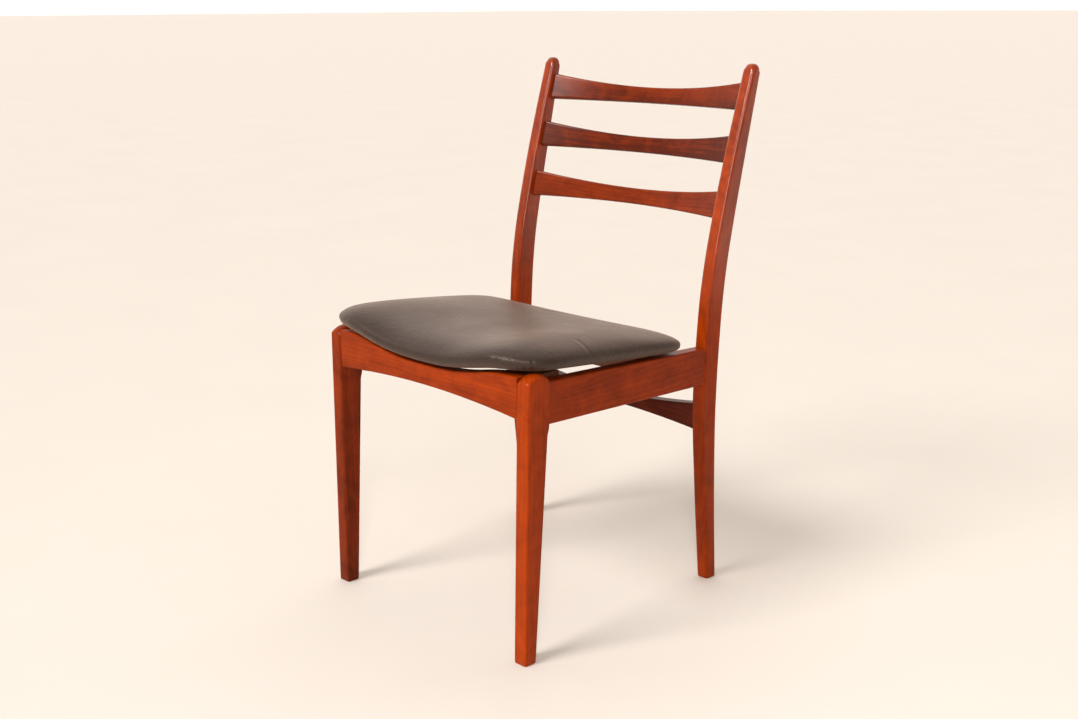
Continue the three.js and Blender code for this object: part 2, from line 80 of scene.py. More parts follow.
# Points of a rear leg's front and back edges, as (how far behind the middle of the seat frame,
# height), in millimetres.
REAR_FRONT_EDGE = np.array([
    [163.7, 0], [147.8, 145], [136, 291], [140.9, 421],
    [151.2, 504], [168.1, 581], [194.8, 678], [232, 796.5],
])
REAR_BACK_EDGE = np.array([
    [187.1, 0], [177.6, 145], [173.1, 291], [178.3, 421],
    [187.4, 504], [202.4, 581], [224.5, 678], [250.9, 790.5],
])
FRONT_FOOT_Y = -246 * MM  # front of a front foot, from the middle of the seat frame
SHIFT_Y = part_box("front_leg_left")[0].y - FRONT_FOOT_Y  # from there to the middle of the chair


# ---------------------------------------------------------------------------------- sizes


def metres(name, description, default):
    """A length in metres."""
    return FloatProperty(name=name, description=description, default=default, unit="LENGTH")


def tint(name, description, default):
    """A colour, as linear red, green and blue."""
    return FloatVectorProperty(
        name=name, description=description, subtype="COLOR", size=3, default=default,
    )


class FrontLegSizes(bpy.types.PropertyGroup):
    """Sizes of a front leg."""

    outer: metres("Outer face", "Outer face from the middle, at the floor", 0.214)
    thickness: metres("Thickness", "Thickness of the board", 0.024)
    height: metres("Height", "Top of the rounded head", 0.4173)
    crown: metres("Crown", "Rise of the rounded head", 0.012)
    dome: metres("Dome", "Radius that rounds the head over from face to face", 0.0085)
    rounding: metres("Rounding", "Radius along the long edges", 0.0042)


class RearLegSizes(bpy.types.PropertyGroup):
    """Sizes of a rear leg."""

    outer: metres("Outer face", "Outer face from the middle, at the floor", 0.212)
    thickness: metres("Thickness", "Thickness of the board", 0.0215)
    crown: metres("Crown", "Rise of the rounded head", 0.012)
    dome: metres("Dome", "Radius that rounds the head over from face to face", 0.0085)
    rounding: metres("Rounding", "Radius along the long edges", 0.0055)


class RailSizes(bpy.types.PropertyGroup):
    """Sizes of the rails."""

    front_face: metres(
        "Front rail face", "Front of the front rail, from the seat frame's middle", -0.2375,
    )
    front_thickness: metres("Front rail thickness", "Thickness of the front rail", 0.022)
    scoop: metres("Scoop", "Half length of the hollow in the front rail's top", 0.165)
    rear_face: metres(
        "Rear rail face", "Front of the rear rail, from the seat frame's middle", 0.146,
    )
    rear_thickness: metres("Rear rail thickness", "Thickness of the rear rail", 0.019)
    side_outer: metres("Side rail face", "Outer face of a side rail, from the middle", 0.2142)
    side_thickness: metres("Side rail thickness", "Thickness of a side rail", 0.021)
    rounding: metres("Rounding", "Radius along the long edges", 0.0025)


class SlatSizes(bpy.types.PropertyGroup):
    """Sizes of the back slats."""

    end_height: metres("End height", "Height of a slat at the posts", 0.0423)
    middle_height: metres("Middle height", "Height of a slat half way along", 0.0253)
    thickness: metres("Thickness", "Thickness of a slat", 0.009)
    setback: metres("Setback", "Front of a slat's end behind the post's front edge", 0.0107)
    bow: metres("Bow", "How far back the middle of a slat bends", 0.029)
    rounding: metres("Rounding", "Radius along the long edges", 0.0026)


class CushionSizes(bpy.types.PropertyGroup):
    """Sizes of the seat and how it is inflated."""

    half_thickness: metres(
        "Half thickness", "Depth of the seat's bottom below its middle surface", 0.0148,
    )
    rise: metres("Rise", "Height of the middle of its top above its middle surface", 0.0188)
    slack: metres("Slack", "How much lower the form is before it is inflated", 0.0010)
    draw_in: metres("Draw-in", "How far the rim draws in as the form is inflated", 0.0020)
    swell: metres("Swell", "The furthest that any point may move as it is inflated", 0.003)
    evening: IntProperty(
        name="Evening",
        description="How often the swelling is averaged with that of its neighbours",
        default=70, min=0,
    )
    voxel: metres("Voxel", "Spacing of the inflated mesh", 0.004)
    pleat: metres("Pleat", "Depth of the pleats round the corners", 0.0011)
    pressure: FloatProperty(
        name="Pressure", description="Air pressure inside the form",
        default=4.0,
    )
    steps: IntProperty(
        name="Steps", description="Frames for which the form is inflated",
        default=20, min=2,
    )


class FinishColours(bpy.types.PropertyGroup):
    """Colours of the finishes."""

    wood_light: tint("Wood, light", "Early wood between the grain lines", (0.42, 0.047, 0.0010))
    wood_middle: tint("Wood, middle", "Most of the wood", (0.235, 0.0240, 0.0006))
    wood_dark: tint("Wood, dark", "Grain lines and streaks", (0.072, 0.0072, 0.0004))
    leather: tint("Leather", "Seat cover", (0.0165, 0.0105, 0.0085))
    floor: tint("Floor", "Studio floor", (0.70, 0.63, 0.56))


class StudioSizes(bpy.types.PropertyGroup):
    """The camera and the lamps."""

    camera_place: FloatVectorProperty(
        name="Camera", description="Place of the camera",
        subtype="TRANSLATION", size=3, default=(1.4102, -1.4177, 0.8915),
    )
    turn: FloatProperty(
        name="Turn", description="How far the camera looks round from straight back",
        subtype="ANGLE", default=math.radians(45.07),
    )
    tilt: FloatProperty(
        name="Tilt", description="How far the camera looks down",
        subtype="ANGLE", default=math.radians(15.0),
    )
    roll: FloatProperty(
        name="Roll", description="Roll of the camera about its line of sight",
        subtype="ANGLE", default=math.radians(-0.31),
    )
    lens: FloatProperty(name="Lens", description="Focal length of the camera, in mm", default=44.21)
    key: FloatProperty(
        name="Key light", description="Strength of the broad main light", default=2.9,
    )
    room: FloatProperty(name="Room", description="Strength of the room in front", default=0.42)
    wall: FloatProperty(name="Wall", description="Strength of the pale wall behind", default=1.40)
    front: FloatProperty(
        name="Front lamp", description="Power of the tall lamp in front, in watts", default=32,
    )


# --------------------------------------------------------------------------------- shaders


# Places of the colour sockets on a Mix node, which has sockets of the same name for each kind.
MIX_COLOUR_A, MIX_COLOUR_B, MIX_COLOUR_OUT = 6, 7, 2


class Wire:
    """One output socket of a material, with arithmetic that adds Math nodes to its tree."""

    def __init__(self, tree, socket):
        self.tree = tree
        self.socket = socket

    def node(self, kind, settings=(), inputs=(), output=0):
        """Adds a node of that type: its settings first, then the values or links of its sockets."""
        made = self.tree.nodes.new(kind)
        for name, value in dict(settings).items():
            if name == "stops":
                fill_ramp(made.color_ramp, value)
            else:
                setattr(made, name, value)
        for name, value in dict(inputs).items():
            socket = made.inputs[name]
            if isinstance(value, Wire):
                self.tree.links.new(value.socket, socket)
            else:
                socket.default_value = value
        return Wire(self.tree, made.outputs[output])

    def maths(self, operation, *others):
        """A Math node with this value first."""
        inputs = dict(enumerate((self, *others)))
        return self.node("ShaderNodeMath", {"operation": operation}, inputs)

    def flipped(self, operation, other):
        """A Math node with this value second."""
        return self.node("ShaderNodeMath", {"operation": operation}, {0: other, 1: self})

    def __add__(self, other):
        return self.maths("ADD", other)

    __radd__ = __add__

    def __mul__(self, other):
        return self.maths("MULTIPLY", other)

    __rmul__ = __mul__

    def __sub__(self, other):
        return self.maths("SUBTRACT", other)

    def __rsub__(self, other):
        return self.flipped("SUBTRACT", other)

    def __pow__(self, other):
        return self.maths("POWER", other)

    def step(self, low, high):
        """0 below low, 1 above high and a smooth rise between; falls when low is above high."""
        inputs = {"Value": self, "From Min": low, "From Max": high}
        return self.node("ShaderNodeMapRange", {"interpolation_type": "SMOOTHSTEP"}, inputs)

    def stretched(self, x, y, z):
        """A vector times (x, y, z)."""
        inputs = {0: self, 1: (x, y, z)}
        return self.node("ShaderNodeVectorMath", {"operation": "MULTIPLY"}, inputs)

    def noise(self, scale=1.0, detail=2.0, roughness=0.5, distortion=0.0):
        """Noise at this vector, around 0.5."""
        inputs = {"Vector": self, "Scale": scale, "Detail": detail}
        inputs |= {"Roughness": roughness, "Distortion": distortion}
        return self.node("ShaderNodeTexNoise", {}, inputs)

    def coordinates(self):
        """Object coordinates."""
        return self.node("ShaderNodeTexCoord", {}, {}, "Object")

    def attribute(self, name, output="Fac"):
        """What the piece's attribute of that name holds."""
        return self.node("ShaderNodeAttribute", {"attribute_name": name}, {}, output)

    def axis(self, name):
        """The X, Y or Z of this vector."""
        return self.node("ShaderNodeSeparateXYZ", {}, {"Vector": self}, name)

    def ramp(self, stops):
        """The colour at this share of a ramp, whose stops are (place, colour)."""
        return self.node("ShaderNodeValToRGB", {"stops": stops}, {"Fac": self}, "Color")

    def mixed(self, share, other):
        """This colour, with the other laid over it by share."""
        inputs = {"Factor": share, MIX_COLOUR_A: self, MIX_COLOUR_B: other}
        return self.node("ShaderNodeMix", {"data_type": "RGBA"}, inputs, MIX_COLOUR_OUT)


def fill_ramp(ramp, stops):
    """Sets the stops of a colour ramp, given as (place, colour)."""
    while len(ramp.elements) < len(stops):
        ramp.elements.new(1.0)
    for element, (place, colour) in zip(ramp.elements, stops, strict=True):
        element.position = place
        element.color = (*colour, 1.0)


def new_material(name):
    """A material with its Principled shader: (material, shader node, a wire to start from)."""
    material = bpy.data.materials.new(name)
    material.use_nodes = True
    tree = material.node_tree
    shader = tree.nodes["Principled BSDF"]
    return material, shader, Wire(tree, None)


def finish_shader(material, shader, colour, roughness, normal=None, coat=None, **constants):
    """Links what varies to the shader and sets what is the same all over."""
    links = {"Base Color": colour, "Roughness": roughness, "Normal": normal, "Coat Weight": coat}
    for name, value in links.items():
        if isinstance(value, Wire):
            material.node_tree.links.new(value.socket, shader.inputs[name])
        elif value is not None:
            shader.inputs[name].default_value = value
    for name, value in constants.items():
        shader.inputs[name.replace("_", " ")].default_value = value
    return material


def bump(height, strength, distance, normal=None):
    """The surface's normal, or the given one, tilted by that height."""
    inputs = {"Height": height, "Strength": strength, "Distance": distance}
    if normal is not None:
        inputs["Normal"] = normal
    return height.node("ShaderNodeBump", {}, inputs)


RING_WIDTH = 6.8 * MM  # of a year's growth
PITH_BEHIND = 45 * MM  # how far behind the middle of a board the pith of its tree was
POLISH_FROM, POLISH_FULL = 0.40, 0.56  # heights between which the polish sets in


def frame_wood():
    """Satin reddish-brown wood. The grain attribute holds (along, across, through) in metres.

    Colour: growth rings about a far pith, broad streaks and fine streaks added up, through a ramp
    from dark to light. Pores are short dark lines that are also slightly sunk. The back, which
    hands hold, is more polished than the legs and rails.
    """
    colours = bpy.context.scene.chair_finish
    material, shader, start = new_material("oiled_red_brown_wood")
    grain = start.attribute("grain", "Vector")
    wander = grain.stretched(3.2, 15, 15).noise(1.0, 3.0)
    ripple = grain.stretched(11, 38, 38).noise(1.0, 2.0)
    across, deep = grain.axis("Y"), grain.axis("Z") + PITH_BEHIND
    pith = across * across + deep * deep
    rings = pith ** 0.5 + wander * 0.030 + ripple * 0.0045
    late = ((rings * (2 * math.pi / RING_WIDTH)).maths("SINE") * 0.5 + 0.5) ** 2.2
    broad = grain.stretched(1.4, 24, 24).noise(1.0, 3.0, 0.55, 0.4)
    streak = grain.stretched(8, 330, 330).noise(1.0, 4.0, 0.62, 0.15)
    figure = grain.stretched(26, 34, 34).noise(1.0, 3.0, 0.55, 0.9)
    # Each board's own tone; the rear rail's is painted shade, darker as though in the seat's
    # shadow.
    shade = start.attribute("tone")
    tone = 0.05 + shade + broad * 0.42 + streak * 0.24 + figure * 0.36 - late * 0.05
    stops = [
        (0.22, tuple(colours.wood_dark)),
        (0.50, tuple(colours.wood_middle)),
        (0.80, tuple(colours.wood_light)),
    ]
    colour = tone.ramp(stops)
    pores = grain.stretched(70, 1500, 1500).noise(1.0, 2.0, 0.5).step(0.63, 0.72)
    dark = tuple(0.45 * part for part in colours.wood_dark)
    colour = colour.mixed(pores * 0.55, (*dark, 1.0))
    roughness = 0.35 + streak * 0.10 + pores * 0.12 - broad * 0.04
    normal = bump(streak * 0.30 - pores * 0.7 + late * 0.12, 0.20, 0.00025)
    place = start.coordinates()
    high = place.axis("Z").step(POLISH_FROM, POLISH_FULL)
    held = start.attribute("polish")
    polish = 0.14 + high * held + streak * 0.06
    return finish_shader(
        material, shader, colour, roughness, normal, polish,
        Specular_IOR_Level=0.03, Specular_Tint=(1.0, 0.6, 0.38, 1.0), Coat_Roughness=0.19,
    )


def plain_wood(name, light, dark, turn):
    """Plain stained wood on Object coordinates, turned so that its grain runs along the piece."""
    material, shader, start = new_material(name)
    place = start.coordinates()
    place = place.node("ShaderNodeMapping", {}, {"Vector": place, "Rotation": turn})
    broad = place.stretched(4, 40, 40).noise(1.0, 3.0, 0.55, 0.4)
    fleck = place.stretched(160, 1100, 1100).noise(1.0, 2.0).step(0.58, 0.70)
    streak = place.stretched(14, 420, 420).noise(1.0, 4.0, 0.6)
    tone = broad * 0.6 + streak * 0.45
    stops = [(0.30, dark), (0.75, light)]
    colour = tone.ramp(stops)
    colour = colour.mixed(fleck * 0.5, (*(0.55 * part for part in dark), 1.0))
    roughness = 0.55 + streak * 0.15
    normal = bump(streak - fleck * 0.4, 0.25, 0.0003)
    return finish_shader(material, shader, colour, roughness, normal)


VENEER = 2.6 * MM  # thickness of two veneers of the seat board


def plywood():
    """Birch board: pale grain on its faces and the darker lines of its veneers on the edges."""
    material, shader, start = new_material("birch_plywood")
    place = start.coordinates()
    streak = place.stretched(12, 200, 12).noise(1.0, 4.0, 0.6)
    layer = place.axis("Z")
    line = ((layer * (2 * math.pi / VENEER)).maths("SINE") * 0.5 + 0.5) ** 6.0
    stops = [(0.30, (0.42, 0.25, 0.12)), (0.72, (0.66, 0.46, 0.27))]
    colour = streak.ramp(stops)
    colour = colour.mixed(line * 0.35, (0.20, 0.10, 0.045, 1.0))
    return finish_shader(material, shader, colour, 0.6 + streak * 0.12, bump(streak, 0.3, 0.0003))


def leather():
    """Soft black leather: fine pebbles, long shallow creases and a worn sheen."""
    colours = bpy.context.scene.chair_finish
    material, shader, start = new_material("black_leather")
    place = start.coordinates()
    cells = {"Vector": place, "Scale": 620.0, "Smoothness": 0.45}
    pebbles = place.node("ShaderNodeTexVoronoi", {"feature": "SMOOTH_F1"}, cells, "Distance")
    soft = place.noise(16.0, 4.0, 0.55)
    wrinkle = place.stretched(30, 52, 30).noise(1.0, 3.0, 0.55, 1.1) - 0.5
    wrinkle = wrinkle.maths("ABSOLUTE").step(0.0, 0.05)
    worn = place.noise(7.0, 3.0, 0.6).step(0.35, 0.75)
    base = tuple(colours.leather)
    rubbed = tuple(part * 1.5 + 0.002 for part in base)
    stops = [(0.25, base), (0.85, rubbed)]
    colour = worn.ramp(stops)
    roughness = 0.40 + soft * 0.12 - worn * 0.05 + pebbles * 0.05
    fine = bump(pebbles, 0.22, 0.00022)
    normal = bump(wrinkle * 0.4 + soft, 0.22, 0.0022, fine)
    return finish_shader(
        material, shader, colour, roughness, normal, Specular_Tint=(1.0, 0.74, 0.60, 1.0),
        Sheen_Weight=0.20, Sheen_Roughness=0.4, Sheen_Tint=(1.0, 0.58, 0.38, 1.0),
    )


def black_cloth():
    """Black felted dust cloth: fibres both ways, matt."""
    material, shader, start = new_material("black_dust_cloth")
    place = start.coordinates()
    lengthwise = place.stretched(220, 1500, 220).noise(1.0, 2.0, 0.6)
    crosswise = place.stretched(1500, 220, 220).noise(1.0, 2.0, 0.6)
    fibre = lengthwise * 0.5 + crosswise * 0.5
    stops = [(0.35, (0.008, 0.008, 0.009)), (0.70, (0.030, 0.030, 0.032))]
    colour = fibre.ramp(stops)
    return finish_shader(material, shader, colour, 0.8 + fibre * 0.15, bump(fibre, 0.5, 0.0003))


def screw_steel():
    """Zinc-plated screw: brushed, slightly uneven."""
    material, shader, start = new_material("zinc_plated_steel")
    place = start.coordinates()
    brushed = place.stretched(300, 300, 2200).noise(1.0, 3.0, 0.6)
    stops = [(0.2, (0.42, 0.40, 0.35)), (0.8, (0.62, 0.60, 0.55))]
    colour = brushed.ramp(stops)
    normal = bump(brushed, 0.15, 0.0001)
    return finish_shader(material, shader, colour, 0.30 + brushed * 0.15, normal, Metallic=1.0)


def studio_floor():
    """Pale matt floor with a faint mottle."""
    colours = bpy.context.scene.chair_finish
    material, shader, start = new_material("pale_floor")
    place = start.coordinates()
    mottle = place.noise(2.5, 5.0, 0.6)
    pale = tuple(colours.floor)
    stops = [(0.2, tuple(0.95 * part for part in pale)), (0.8, pale)]
    colour = mottle.ramp(stops)
    return finish_shader(material, shader, colour, 0.62 + mottle * 0.1)


def material_of(maker):
    """The material that a maker function builds, built once."""
    made = material_of.store
    if maker.__name__ not in made:
        made[maker.__name__] = maker()
    return made[maker.__name__]


material_of.store = {}


# ---------------------------------------------------------------------------------- shapes


def spline(points, share):
    """Smooth curve through points at the shares 0..1 of their number.

    Each stretch is the cubic between two points whose slopes there are half the step between the
    neighbours on either side.
    """
    last = len(points) - 1
    place = np.clip(share, 0, 1) * last
    i = np.minimum(place.astype(int), last - 1)
    w = (place - i)[:, None]
    p0, p1, p2, p3 = (points[np.clip(i + k, 0, last)] for k in (-1, 0, 1, 2))
    v0, v1 = (p2 - p0) / 2, (p3 - p1) / 2
    cubic = (2 * p1 - 2 * p2 + v0 + v1) * w**3
    return cubic + (3 * p2 - 3 * p1 - 2 * v0 - v1) * w**2 + v0 * w + p1


DENSE = np.linspace(0, 1, 601)
FRONT_CURVE = spline(REAR_FRONT_EDGE, DENSE) * MM


def post_front(z):
    """How far back the front edge of a rear leg is at height z."""
    return np.interp(z, FRONT_CURVE[:, 1], FRONT_CURVE[:, 0])


def section(arc=6, sides=(0.93, 0.4, -0.4, -0.93)):
    """Unit pattern of a rounded rectangle: for each point, the share of the straight half sides
    and the direction on the corner circle."""
    rows = []
    signs = [(1, 1), (-1, 1), (-1, -1), (1, -1)]
    for quarter, (sign_a, sign_b) in enumerate(signs):
        angles = math.pi / 2 * (quarter + np.linspace(0, 1, arc + 1))
        rows += [(sign_a, sign_b, math.cos(t), math.sin(t)) for t in angles]
        end = (math.cos(angles[-1]), math.sin(angles[-1]))
        across = quarter in (0, 2)
        for share in sides:
            rows.append(
                (sign_a * share, sign_b, *end) if across else (sign_a, sign_b * share, *end)
            )
    return np.array(rows)


SECTION = section()


def rounded(half_a, half_b, radius):
    """Rounded rectangles: a point is the corner centre's place plus radius times a direction.

    Gives the two coordinates, each of one row per section and one column per point.
    """
    half_a, half_b = (np.asarray(v, float)[:, None] for v in (half_a, half_b))
    radius = np.minimum(radius, 0.98 * np.minimum(half_a, half_b))
    a = SECTION[:, 0] * (half_a - radius) + SECTION[:, 2] * radius
    b = SECTION[:, 1] * (half_b - radius) + SECTION[:, 3] * radius
    return a, b


def skin(name, rings, grain=None):
    """Mesh object over closed rings of points, with a face over each end.

    Faces join each point to the next in its ring and in the next ring. The signed volume says
    whether the faces have to be turned outward.
    """
    count, around, _ = rings.shape
    index = np.arange(count * around).reshape(count, around)
    step = np.roll(index, -1, axis=1)
    quads = np.stack([index[:-1], step[:-1], step[1:], index[1:]], -1).reshape(-1, 4)
    faces = [*quads.tolist(), index[0, ::-1].tolist(), index[-1].tolist()]
    points = rings.reshape(-1, 3)
    a, b, c, d = (points[quads[:, k]] for k in range(4))
    volume = np.sum(a * np.cross(b, c)) + np.sum(a * np.cross(c, d))
    if volume < 0:
        faces = [face[::-1] for face in faces]
    mesh = bpy.data.meshes.new(name)
    mesh.from_pydata(points.tolist(), [], faces)
    mesh.polygons.foreach_set("use_smooth", np.ones(len(faces), bool))
    mesh.set_sharp_from_angle(angle=math.radians(50))
    if grain is not None:
        values = grain.reshape(-1, 3).astype(np.float32).ravel()
        mesh.attributes.new("grain", "FLOAT_VECTOR", "POINT").data.foreach_set("vector", values)
    mesh.update()
    made = bpy.data.objects.new(name, mesh)
    bpy.context.scene.collection.objects.link(made)
    return made


# For each board: where in the log its pattern is taken from, so that no two boards are alike; how
# much lighter it is than most, which for the rear rail is painted shade, as though in the seat's
# shadow; and how polished it is where hands hold it.
BOARDS = {
    "front_leg_left": ((0.0, 0.31, 0.02), 0.02, 0.0),
    "front_leg_right": ((2.7, 0.83, 0.16), -0.18, 0.0),
    "rear_leg_left": ((5.1, 0.47, 0.07), -0.03, 0.75),
    "rear_leg_right": ((7.9, 0.12, 0.21), -0.02, 0.75),
    "front_rail": ((11.3, 0.02, 0.38), 0.0, 0.0),
    # The rear rail's tone is painted shade: it is darkened as though the seat shadows it.
    "rear_rail": ((14.2, 0.55, 0.11), -0.32, 0.0),
    "side_rail_left": ((17.4, 0.09, 0.29), -0.07, 0.0),
    "side_rail_right": ((20.2, 0.66, 0.05), -0.04, 0.0),
    "back_slat_top": ((23.1, 0.04, 0.5), -0.20, 0.22),
    "back_slat_middle": ((26.4, 0.35, 0.33), -0.28, 0.22),
    "back_slat_lower": ((29.9, 0.74, 0.14), -0.16, 0.22),
}


def wooden(node, rings, grain):
    """The finished wooden piece that stands for that part of the frame."""
    place, tone, polish = BOARDS[node]
    made = skin(node + "_wood", rings, grain + np.array(place))
    for name, value in (("tone", tone), ("polish", polish)):
        values = np.full(len(made.data.vertices), value, np.float32)
        made.data.attributes.new(name, "FLOAT", "POINT").data.foreach_set("value", values)
    made.data.materials.append(material_of(frame_wood))
    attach(made, "root")
    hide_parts(node)


def end_stations(half_a, half_b, offset, radius, steps=4):
    """Extra sections that round the first end over: the offset falls and the halves shrink along
    a quarter circle."""
    turn = np.linspace(0, np.pi / 2, steps, endpoint=False)
    inset = radius * (1 - np.sin(turn))
    return half_a - inset, half_b - inset, offset + radius * (1 - np.cos(turn))


# Legs

FOOT_ROUND = 1.6 * MM  # radius round the bottom of a foot


def post_rings(front, back, sizes, side):
    """Sections of a leg between its front and back edge curves, from the floor up.

    A section's middle is half way between the curves, and its half width half their distance.
    Above the curves, the head closes as a smooth step while it rises along 4t(1 - t) times the
    crown, over the last of its height the board also thins along a quarter circle, and the
    section's corners grow rounder. Every point then leans outward with height.
    """
    crown, dome, outer = sizes.crown, sizes.dome, sizes.outer
    thickness, rounding = sizes.thickness, sizes.rounding
    middle = (front + back) / 2
    half = np.linalg.norm(back - front, axis=1) / 2
    toward = (back - front) / (2 * half[:, None])
    up = np.stack([-toward[:, 1], toward[:, 0]], 1)
    t = 0.5 * np.sin(np.linspace(0, np.pi / 2, 19)[1:])
    rise = 4 * t * (1 - t) * crown
    close = np.maximum(1 - 2 * (3 * t**2 - 2 * t**3), 0.03)
    left = np.clip(dome - (crown - rise), 0, dome)
    thin = dome - np.sqrt(np.maximum(dome**2 - left**2, 0))
    foot_a, foot_b, foot_z = end_stations(thickness / 2, half[0], 0.0, FOOT_ROUND)
    keep = front[:, 1] > FOOT_ROUND * 1.5
    centres = np.concatenate([
        middle[0] + up[0] * foot_z[:, None],
        middle[keep],
        middle[-1] + up[-1] * rise[:, None],
    ])
    half_a = np.concatenate([foot_a, np.full(keep.sum(), thickness / 2), thickness / 2 - thin])
    half_b = np.concatenate([foot_b, half[keep], half[-1] * close])
    directions = np.concatenate([
        np.repeat(toward[:1], len(foot_a), 0), toward[keep], np.repeat(toward[-1:], len(t), 0),
    ])
    corner = np.full(len(half_a), rounding)
    corner[-len(t):] += rise / crown * thickness / 2
    a, b = rounded(half_a, half_b, corner[:, None])
    y = centres[:, :1] + b * directions[:, :1]
    z = centres[:, 1:] + b * directions[:, 1:]
    z = z - min(z[:len(foot_a)].min(), 0.0)
    x = side * (outer - thickness / 2 + a + LEAN * z)
    rings = np.stack([x, y + SHIFT_Y, z], -1)
    grain = np.stack([z, y, side * a], -1)
    return rings, grain


# A front leg from the side: places of its edges from the seat frame's middle, and the heights
# between which its back edge steps out to a small shoulder.
LEG_FRONT_AT_HEAD = -0.239
LEG_BACK_AT_FOOT, LEG_BACK_AT_SHOULDER, LEG_BACK_AT_RAIL = -0.2235, -0.201, -0.1975
SHOULDER_LOW, SHOULDER_HIGH = 0.326, 0.344


def front_leg_edges(sizes):
    """Front and back edges of a front leg: straight lines, the back one with the shoulder, which
    is a smooth step."""
    height = sizes.height - sizes.crown
    z = np.concatenate([
        np.linspace(0, SHOULDER_LOW - 0.016, 28),
        np.linspace(SHOULDER_LOW - 0.010, SHOULDER_HIGH + 0.012, 14),
        np.linspace(SHOULDER_HIGH + 0.021, height, 8),
    ])
    front = np.interp(z, [0, height], [FRONT_FOOT_Y, LEG_FRONT_AT_HEAD])
    share = np.clip((z - SHOULDER_LOW) / (SHOULDER_HIGH - SHOULDER_LOW), 0, 1)
    step = share**2 * (3 - 2 * share)
    taper = np.interp(z, [0, SHOULDER_LOW], [LEG_BACK_AT_FOOT, LEG_BACK_AT_SHOULDER])
    back = taper + step * (LEG_BACK_AT_RAIL - LEG_BACK_AT_SHOULDER)
    return np.stack([front, z], 1), np.stack([back, z], 1)


class CHAIR_OT_front_legs(bpy.types.Operator):
    """Build the two tapered front legs with rounded heads"""

    bl_idname = "chair.front_legs"
    bl_label = "Front legs"

    def execute(self, context):
        sizes = context.scene.chair_front_leg
        front, back = front_leg_edges(sizes)
        for side, name in ((1, "left"), (-1, "right")):
            wooden("front_leg_" + name, *post_rings(front, back, sizes, side))
        return {"FINISHED"}


class CHAIR_OT_rear_legs(bpy.types.Operator):
    """Build the two curved rear legs that carry the back"""

    bl_idname = "chair.rear_legs"
    bl_label = "Rear legs"

    def execute(self, context):
        sizes = context.scene.chair_rear_leg
        share = np.linspace(0, 1, 85)
        front = spline(REAR_FRONT_EDGE, share) * MM
        back = spline(REAR_BACK_EDGE, share) * MM
        for side, name in ((1, "left"), (-1, "right")):
            wooden("rear_leg_" + name, *post_rings(front, back, sizes, side))
        return {"FINISHED"}


# Rails: the heights of their edges, as (in the middle, at the ends) for those across the chair and
# as (in front, at the rear) for the side rails.

FRONT_RAIL_TOP, FRONT_RAIL_BOTTOM = (0.3965, 0.4135), (0.3655, 0.3545)
REAR_RAIL_TOP, REAR_RAIL_BOTTOM = (0.279, 0.2945), (0.262, 0.2515)
SIDE_RAIL_TOP, SIDE_RAIL_BOTTOM = (0.4043, 0.3867), (0.344, 0.330)
SCOOP_SHAPE = 1.6  # power of the front rail's hollow, larger is flatter in the middle
SCOOP_HEIGHT = 0.4  # height at which the front rail's length is taken for the hollow


def between(pair, share):
    """The first of the pair at share 0, the second at share 1."""
    return pair[0] + (pair[1] - pair[0]) * share


def inner_face(legs, z):
    """X of the inner face of the left leg of that pair at height z."""
    return legs.outer - legs.thickness + LEAN * z


def cross_rail(bottom, top, legs, share, face, thickness, rounding):
    """A rail across the chair: sections at shares -1..1 between the inner faces of the legs.

    Each section stands between the rail's bottom and top there, and a point's X is its share
    times the clear half width at its own height, so that the ends fit the leaning legs.
    """
    a, b = rounded(np.full(len(share), thickness / 2), (top - bottom) / 2, rounding)
    y = face + thickness / 2 + a
    z = ((top + bottom) / 2)[:, None] + b
    x = share[:, None] * (inner_face(legs, z) - FIT)
    return np.stack([x, y + SHIFT_Y, z], -1), np.stack([x, z, y], -1)


class CHAIR_OT_front_rail(bpy.types.Operator):
    """Build the front rail, hollowed along its top below the seat"""

    bl_idname = "chair.front_rail"
    bl_label = "Front rail"

    def execute(self, context):
        sizes = context.scene.chair_rail
        share = np.linspace(-1, 1, 121)
        legs = context.scene.chair_front_leg
        x = share * inner_face(legs, SCOOP_HEIGHT)
        along = np.minimum(1, np.abs(x) / sizes.scoop) ** SCOOP_SHAPE
        top = between(FRONT_RAIL_TOP, (1 - np.cos(np.pi * along)) / 2)
        bottom = between(FRONT_RAIL_BOTTOM, share**2)
        board = (sizes.front_face, sizes.front_thickness, sizes.rounding)
        wooden("front_rail", *cross_rail(bottom, top, legs, share, *board))
        return {"FINISHED"}


class CHAIR_OT_rear_rail(bpy.types.Operator):
    """Build the waisted rear rail"""

    bl_idname = "chair.rear_rail"
    bl_label = "Rear rail"

    def execute(self, context):
        sizes = context.scene.chair_rail
        share = np.linspace(-1, 1, 61)
        top = between(REAR_RAIL_TOP, share**2)
        bottom = between(REAR_RAIL_BOTTOM, share**2)
        legs = context.scene.chair_rear_leg
        board = (sizes.rear_face, sizes.rear_thickness, sizes.rounding)
        wooden("rear_rail", *cross_rail(bottom, top, legs, share, *board))
        return {"FINISHED"}


class CHAIR_OT_side_rails(bpy.types.Operator):
    """Build the two side rails, which slope down to the rear legs"""

    bl_idname = "chair.side_rails"
    bl_label = "Side rails"

    def execute(self, context):
        sizes = context.scene.chair_rail
        share = np.linspace(0, 1, 61)
        top = between(SIDE_RAIL_TOP, share)
        bottom = between(SIDE_RAIL_BOTTOM, share)
        half_a = np.full(len(share), sizes.side_thickness / 2)
        a, b = rounded(half_a, (top - bottom) / 2, sizes.rounding)
        z = ((top + bottom) / 2)[:, None] + b
        front = LEG_BACK_AT_RAIL + FIT
        y = front + share[:, None] * (post_front(z) - FIT - front)
        for side, name in ((1, "left"), (-1, "right")):
            x = side * (sizes.side_outer - sizes.side_thickness / 2 + a)
            rings = np.stack([x, y + SHIFT_Y, z], -1)
            grain = np.stack([y, z, side * a], -1)
            wooden("side_rail_" + name, rings, grain)
        return {"FINISHED"}


# Back slats

SLAT_HEIGHTS = {"top": 0.7618, "middle": 0.6839, "lower": 0.6019}


